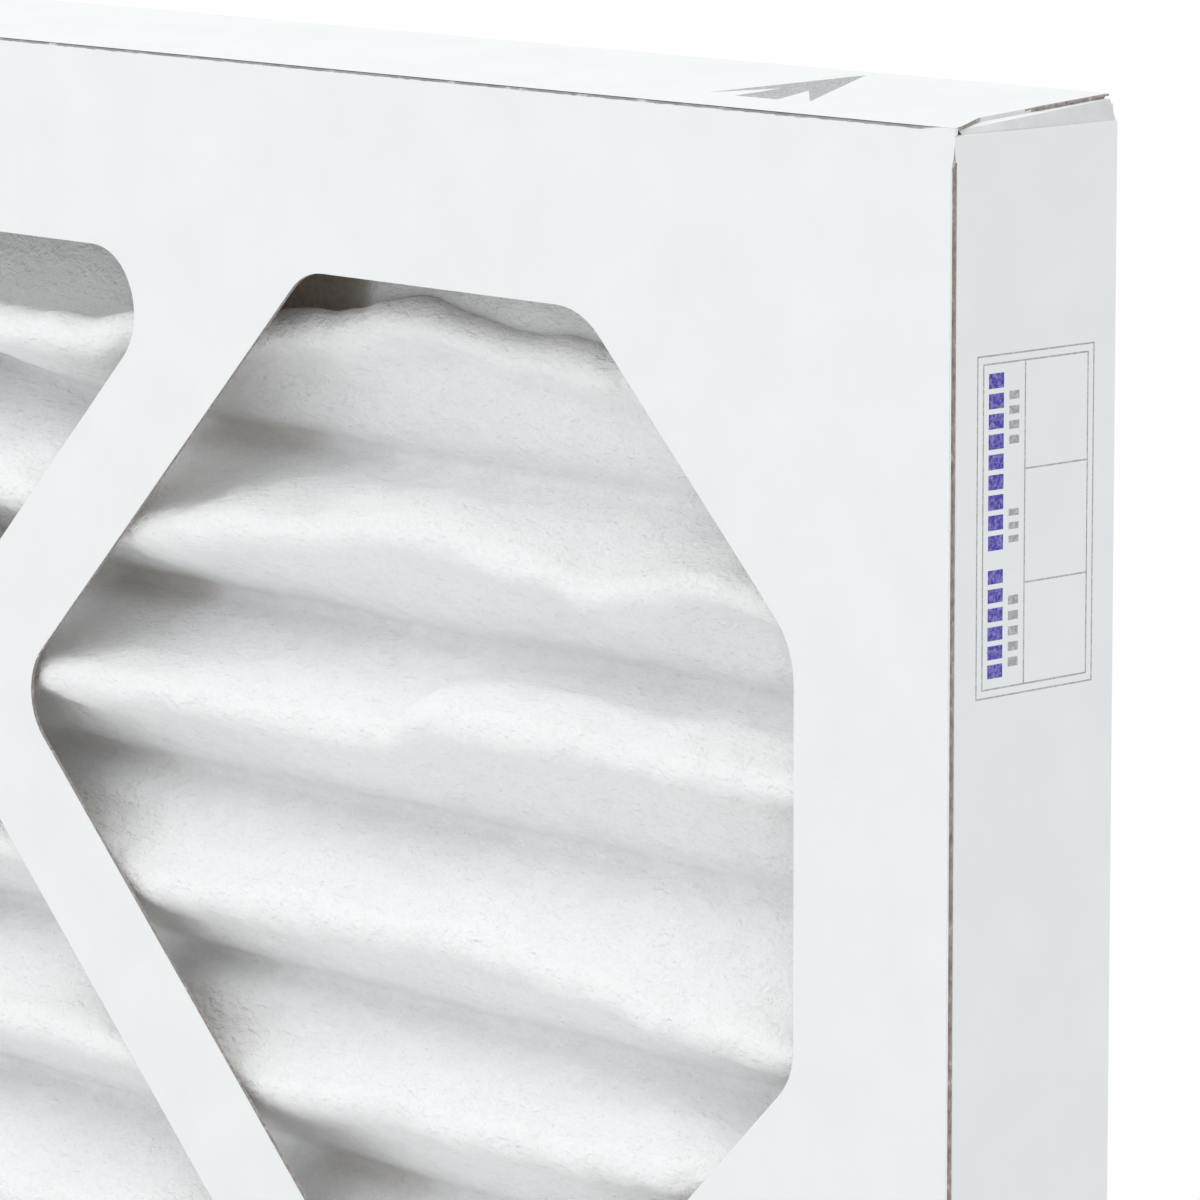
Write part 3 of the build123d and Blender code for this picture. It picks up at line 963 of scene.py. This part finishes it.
class Print:
    """Flat printed fields on one flange, each a very thin block of ink.

    to_panel turns a field's own (across, up, height off the board) into a place on the panel.
    """

    def __init__(self, name, ink, to_panel):
        self.shape = bmesh.new()
        self.name = name
        self.ink = ink
        self.to_panel = to_panel

    def field(self, outline):
        """One filled outline of (across, up) points."""
        upper = [self.shape.verts.new(Vector(self.to_panel(a, b, INK_HEIGHT)) * MM) for a, b in outline]
        lower = [self.shape.verts.new(Vector(self.to_panel(a, b, 0.0)) * MM) for a, b in outline]
        self.shape.faces.new(upper)
        self.shape.faces.new(lower[::-1])
        for i in range(len(outline)):
            j = (i + 1) % len(outline)
            self.shape.faces.new((upper[i], lower[i], lower[j], upper[j]))

    def bar(self, a0, b0, a1, b1):
        """A rectangle between two corners."""
        self.field([(a0, b0), (a1, b0), (a1, b1), (a0, b1)])

    def dashes(self, near, far, runs, before, after):
        """Dashes in place of words: each run is where it starts, where it ends and how many it has."""
        for start, end, count in runs:
            step = (end - start) / count
            for i in range(count):
                self.bar(near, start + i * step + before, far, start + (i + 1) * step - after)

    def piece(self):
        """Makes one piece of all the fields."""
        new_piece(self.name, closed_mesh(self.shape, self.name, self.ink))


def on_right_flange(depth, drop, height):
    """A point on the right flange: depth behind the front fold, drop below the panel's top."""
    return (HALF_WIDTH + height, FRONT + depth, HEIGHT - drop)


def on_top_flange(across, depth, height):
    """A point on the top flange: across from the panel's middle, depth behind the front fold."""
    y = FRONT + depth
    return (across, y, top_height(y) + height)


# Date box: a double rule round three empty boxes, with a heading and captions beside them.
# Near and far are depths behind the front fold; runs and drops are measured down from the top.
BOX_NEAR, BOX_FAR = 6.4, 38.6
BOX_TOP, BOX_BOTTOM = 43.6, 109.7
RULE = 0.3
RULE_GAP = 1.6
DIVIDER = 19.4
CELL_DROPS = (66.1, 88.1)
CAPTION_NEAR, CAPTION_FAR = 15.2, 17.9
CAPTION_RUNS = ((50.6, 62.0, 4), (73.3, 81.0, 3), (90.0, 105.0, 5))
HEADING_NEAR, HEADING_FAR = 9.6, 13.7
HEADING_RUNS = ((46.9, 81.9, 9), (84.7, 106.6, 6))
ARROW_INSET = 65  # from the panel's right side to the middle of the flow arrow


def ruled_frame(ink, near, top, far, bottom):
    """Four thin rules round a rectangle."""
    ink.bar(near, top, far, top + RULE)
    ink.bar(near, bottom - RULE, far, bottom)
    ink.bar(near, top + RULE, near + RULE, bottom - RULE)
    ink.bar(far - RULE, top + RULE, far, bottom - RULE)


def date_box():
    """The date box's rules and captions in grey, and its heading in blue."""
    rules = Print("date_box_rules", INK_GREY, on_right_flange)
    ruled_frame(rules, BOX_NEAR, BOX_TOP, BOX_FAR, BOX_BOTTOM)
    inner = (BOX_NEAR + RULE_GAP, BOX_TOP + RULE_GAP, BOX_FAR - RULE_GAP, BOX_BOTTOM - RULE_GAP)
    ruled_frame(rules, *inner)
    rules.bar(DIVIDER, inner[1] + RULE, DIVIDER + RULE, inner[3] - RULE)
    for drop in CELL_DROPS:
        rules.bar(DIVIDER + RULE, drop, inner[2] - RULE, drop + RULE)
    rules.dashes(CAPTION_NEAR, CAPTION_FAR, CAPTION_RUNS, 0.35, 0.9)
    rules.piece()
    heading = Print("date_box_heading", INK_BLUE, on_right_flange)
    heading.dashes(HEADING_NEAR, HEADING_FAR, HEADING_RUNS, 0.3, 0.7)
    heading.piece()


def flow_arrow():
    """An arrow along the airflow, pointing to the rear."""
    arrow = Print("flow_arrow", INK_GREY, on_top_flange)
    middle = HALF_WIDTH - ARROW_INSET
    arrow.field([
        (middle - 5.8, 11), (middle + 5.8, 11), (middle + 3.6, 21.8), (middle + 14, 12),
        (middle, 41), (middle - 14, 12), (middle - 3.6, 21.8),
    ])
    arrow.piece()


date_box()
flow_arrow()

# ---- Floor, light and camera ---------------------------------------------------------------------
FLOOR_RADIUS = 1.1  # metres, as are the lamp's and the camera's places
SURROUNDING_LIGHT = 0.865  # strength of the white surroundings as a light

scene = bpy.context.scene
scene.view_settings.view_transform = "Standard"


def pale_floor():
    """A plain pale round table top that keeps the filter's shadow."""
    material, tree, place = start_material("pale_floor")
    clouds = blotches(tree, place, 300.0)
    colour = add_node(
        tree, "ShaderNodeValToRGB", {"Fac": clouds}, [(0.3, "#F1F1F1"), (0.7, "#F4F4F4")]
    ).outputs["Color"]
    finish_surface(tree, colour, 0.9)
    shape = bmesh.new()
    bmesh.ops.create_circle(shape, cap_ends=True, segments=96, radius=FLOOR_RADIUS)
    mesh = bpy.data.meshes.new("floor")
    shape.to_mesh(mesh)
    shape.free()
    mesh.materials.append(material)
    floor = bpy.data.objects.new("floor", mesh)
    scene.collection.objects.link(floor)


def studio_world():
    """Even white surroundings, at full white where they are seen and dimmer as a light."""
    world = bpy.data.worlds.new("studio")
    world.use_nodes = True
    tree = world.node_tree
    tree.nodes.clear()
    path = add_node(tree, "ShaderNodeLightPath")
    seen = path.outputs["Is Camera Ray"]
    for ray in ("Is Glossy Ray", "Is Transmission Ray"):
        seen = add_node(
            tree, "ShaderNodeMath", {0: seen, 1: path.outputs[ray]}, operation="MAXIMUM"
        ).outputs[0]
    light = add_node(
        tree, "ShaderNodeBackground", {"Color": srgb("#F9FAFB"), "Strength": SURROUNDING_LIGHT}
    )
    white = add_node(tree, "ShaderNodeBackground", {"Color": (1, 1, 1, 1), "Strength": 1.0})
    mixed = add_node(
        tree, "ShaderNodeMixShader", {0: seen, 1: light.outputs[0], 2: white.outputs[0]}
    )
    output = add_node(tree, "ShaderNodeOutputWorld")
    tree.links.new(mixed.outputs[0], output.inputs["Surface"])
    scene.world = world


def soft_lamp(name, place, aim, size, power):
    """A square soft box aimed at a point."""
    lamp = bpy.data.lights.new(name, "AREA")
    lamp.shape = "SQUARE"
    lamp.size = size
    lamp.energy = power
    holder = bpy.data.objects.new(name, lamp)
    holder.location = place
    holder.rotation_euler = (Vector(aim) - Vector(place)).to_track_quat("-Z", "Y").to_euler()
    scene.collection.objects.link(holder)


pale_floor()
studio_world()
soft_lamp("key", place=(-0.5, -1.3, 2.6), aim=(0.1, 0, 0.45), size=1.8, power=17.5)

# The camera stands off the upper right corner, 1.2 m away, with a long lens.
CORNER = Vector((HALF_WIDTH, FRONT, HEIGHT)) * MM
CAMERA_FROM_CORNER = Vector((0.8471, -0.8658, 0.1170))
LOOK = Vector((-0.72714, 0.66561, -0.16801))
RIGHT = Vector((0.67568, 0.73718, -0.00382))
LENS = 194.51

camera = bpy.data.objects.new("camera", bpy.data.cameras.new("camera"))
camera.data.sensor_width = 36
camera.data.lens = LENS
camera.data.clip_start = 0.05
look = LOOK.normalized()
right = (RIGHT - look * RIGHT.dot(look)).normalized()
up = right.cross(look)
rotation = camera.rotation_euler.to_matrix()
for row in range(3):
    rotation[row] = (right[row], up[row], -look[row])
camera.rotation_euler = rotation.to_euler()
camera.location = CORNER + CAMERA_FROM_CORNER
scene.collection.objects.link(camera)
scene.camera = camera
